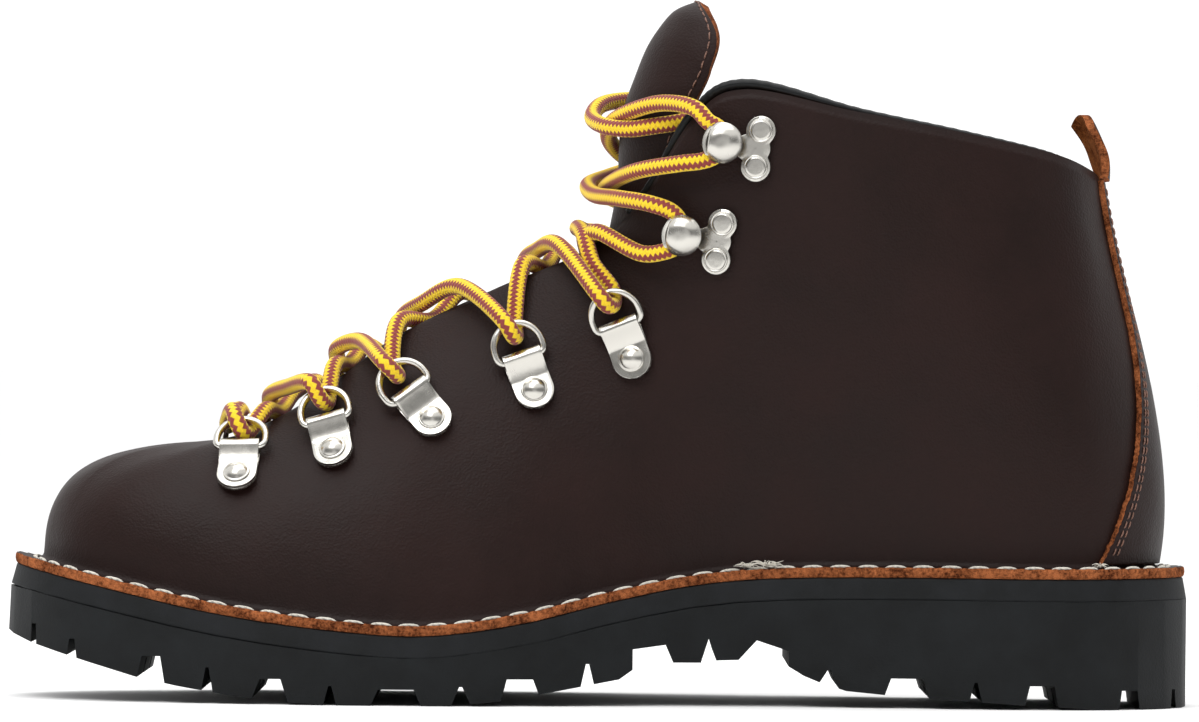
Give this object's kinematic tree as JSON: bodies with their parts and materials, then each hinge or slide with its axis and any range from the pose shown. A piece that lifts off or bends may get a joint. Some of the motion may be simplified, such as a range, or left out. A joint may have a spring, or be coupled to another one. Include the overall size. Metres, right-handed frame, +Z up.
{
  "type": "mountaineering boot",
  "caption": "Right-foot stitchdown leather mountaineering boot with lugged rubber sole, laced through swivelling D-rings and speed hooks.",
  "frame": {"origin": "middle of the sole's footprint, on the ground", "axes": "+Z up; -X towards the toe and +X towards the heel; -Y is the inner (medial) side and +Y the outer side"},
  "size_m": [0.3098, 0.1082, 0.1846],
  "materials": {
    "leather": "smooth, waxed, softly creased",
    "suede": "flesh side, matt and fibrous",
    "black_leather": "thin and supple, satin",
    "lining_leather": "matt",
    "board": "pressed leatherboard, matt",
    "foam": "cloth-covered foam",
    "rubber": "moulded, matt",
    "nickel": "polished plating",
    "steel": "spring steel strip",
    "thread": "waxed heavy thread",
    "lace": "round braid of two colours"
  },
  "bodies": {
    "boot": {"outsole": "rubber", "midsole": "rubber", "shank": "steel", "insole_board": "board", "footbed": "foam", "upper_shell": "leather", "lining": "lining_leather", "toe_stiffener": "board", "heel_stiffener": "board", "backstay": "leather", "collar_binding": "black_leather", "welt_stitching": "thread", "tongue_lower": "leather", "tongue_gusset": "black_leather", "lace": "lace", "ring_clip_medial_1": "nickel", "ring_clip_medial_2": "nickel", "ring_clip_medial_3": "nickel", "ring_clip_medial_4": "nickel", "ring_clip_medial_5": "nickel", "ring_clip_lateral_1": "nickel", "ring_clip_lateral_2": "nickel", "ring_clip_lateral_3": "nickel", "ring_clip_lateral_4": "nickel", "ring_clip_lateral_5": "nickel", "ring_rivet_medial_1": "nickel", "ring_rivet_medial_2": "nickel", "ring_rivet_medial_3": "nickel", "ring_rivet_medial_4": "nickel", "ring_rivet_medial_5": "nickel", "ring_rivet_lateral_1": "nickel", "ring_rivet_lateral_2": "nickel", "ring_rivet_lateral_3": "nickel", "ring_rivet_lateral_4": "nickel", "ring_rivet_lateral_5": "nickel", "speed_hook_medial_1": "nickel", "speed_hook_medial_2": "nickel", "speed_hook_lateral_1": "nickel", "speed_hook_lateral_2": "nickel", "hook_rivet_medial_1_high": "nickel", "hook_rivet_medial_1_low": "nickel", "hook_rivet_medial_2_high": "nickel", "hook_rivet_medial_2_low": "nickel", "hook_rivet_lateral_1_high": "nickel", "hook_rivet_lateral_1_low": "nickel", "hook_rivet_lateral_2_high": "nickel", "hook_rivet_lateral_2_low": "nickel"},
    "tongue": {"tongue_upper": "leather"},
    "heel_tab": {"pull_tab": "suede"},
    "ring_medial_1": {"d_ring_medial_1": "nickel"},
    "ring_medial_2": {"d_ring_medial_2": "nickel"},
    "ring_medial_3": {"d_ring_medial_3": "nickel"},
    "ring_medial_4": {"d_ring_medial_4": "nickel"},
    "ring_medial_5": {"d_ring_medial_5": "nickel"},
    "ring_lateral_1": {"d_ring_lateral_1": "nickel"},
    "ring_lateral_2": {"d_ring_lateral_2": "nickel"},
    "ring_lateral_3": {"d_ring_lateral_3": "nickel"},
    "ring_lateral_4": {"d_ring_lateral_4": "nickel"},
    "ring_lateral_5": {"d_ring_lateral_5": "nickel"}
  },
  "joints": [
    {"name": "tongue_flex", "type": "hinge", "parent": "boot", "child": "tongue", "pos_m": [0.001, 0, 0.1153], "axis": [0, 1, 0], "range_deg": [0, 12], "stiffness_Nm_per_rad": 0.15, "springref_deg": -2.86, "deforming": ["lace"]},
    {"name": "pull_tab_flex", "type": "hinge", "parent": "boot", "child": "heel_tab", "pos_m": [0.13, 0, 0.139], "axis": [0, 1, 0], "range_deg": [-15, 10], "stiffness_Nm_per_rad": 0.01},
    {"name": "d_ring_medial_1_swing", "type": "hinge", "parent": "boot", "child": "ring_medial_1", "pos_m": [-0.09373, -0.02891, 0.0661], "axis": [-0.9904, 0.1354, -0.028], "range_deg": [-6, 5], "stiffness_Nm_per_rad": 0.01, "deforming": ["lace"]},
    {"name": "d_ring_medial_2_swing", "type": "hinge", "parent": "boot", "child": "ring_medial_2", "pos_m": [-0.07114, -0.0289, 0.07304], "axis": [-0.9553, 0.082, -0.2839], "range_deg": [-6, 5], "stiffness_Nm_per_rad": 0.01, "deforming": ["lace"]},
    {"name": "d_ring_medial_3_swing", "type": "hinge", "parent": "boot", "child": "ring_medial_3", "pos_m": [-0.0493, -0.0301, 0.08053], "axis": [-0.7845, -0.2155, -0.5814], "range_deg": [-6, 5], "stiffness_Nm_per_rad": 0.01, "deforming": ["lace"]},
    {"name": "d_ring_medial_4_swing", "type": "hinge", "parent": "boot", "child": "ring_medial_4", "pos_m": [-0.02042, -0.02905, 0.08982], "axis": [-0.9361, -0.096, -0.3384], "range_deg": [-6, 5], "stiffness_Nm_per_rad": 0.01, "deforming": ["lace"]},
    {"name": "d_ring_medial_5_swing", "type": "hinge", "parent": "boot", "child": "ring_medial_5", "pos_m": [0.00488, -0.02976, 0.09824], "axis": [-0.9158, 0.1728, -0.3626], "range_deg": [-6, 5], "stiffness_Nm_per_rad": 0.01, "deforming": ["lace"]},
    {"name": "d_ring_lateral_1_swing", "type": "hinge", "parent": "boot", "child": "ring_lateral_1", "pos_m": [-0.09378, 0.02745, 0.06616], "axis": [0.9869, 0.1578, 0.0332], "range_deg": [-6, 5], "stiffness_Nm_per_rad": 0.01, "deforming": ["lace"]},
    {"name": "d_ring_lateral_2_swing", "type": "hinge", "parent": "boot", "child": "ring_lateral_2", "pos_m": [-0.07117, 0.02794, 0.07304], "axis": [0.9536, 0.0885, 0.2879], "range_deg": [-6, 5], "stiffness_Nm_per_rad": 0.01, "deforming": ["lace"]},
    {"name": "d_ring_lateral_3_swing", "type": "hinge", "parent": "boot", "child": "ring_lateral_3", "pos_m": [-0.04935, 0.02941, 0.0805], "axis": [0.7841, -0.1967, 0.5886], "range_deg": [-6, 5], "stiffness_Nm_per_rad": 0.01, "deforming": ["lace"]},
    {"name": "d_ring_lateral_4_swing", "type": "hinge", "parent": "boot", "child": "ring_lateral_4", "pos_m": [-0.02057, 0.02918, 0.08984], "axis": [0.9348, -0.061, 0.3499], "range_deg": [-6, 5], "stiffness_Nm_per_rad": 0.01, "deforming": ["lace"]},
    {"name": "d_ring_lateral_5_swing", "type": "hinge", "parent": "boot", "child": "ring_lateral_5", "pos_m": [0.00479, 0.03074, 0.09838], "axis": [0.9059, 0.1786, 0.3841], "range_deg": [-6, 5], "stiffness_Nm_per_rad": 0.01, "deforming": ["lace"]}
  ]
}
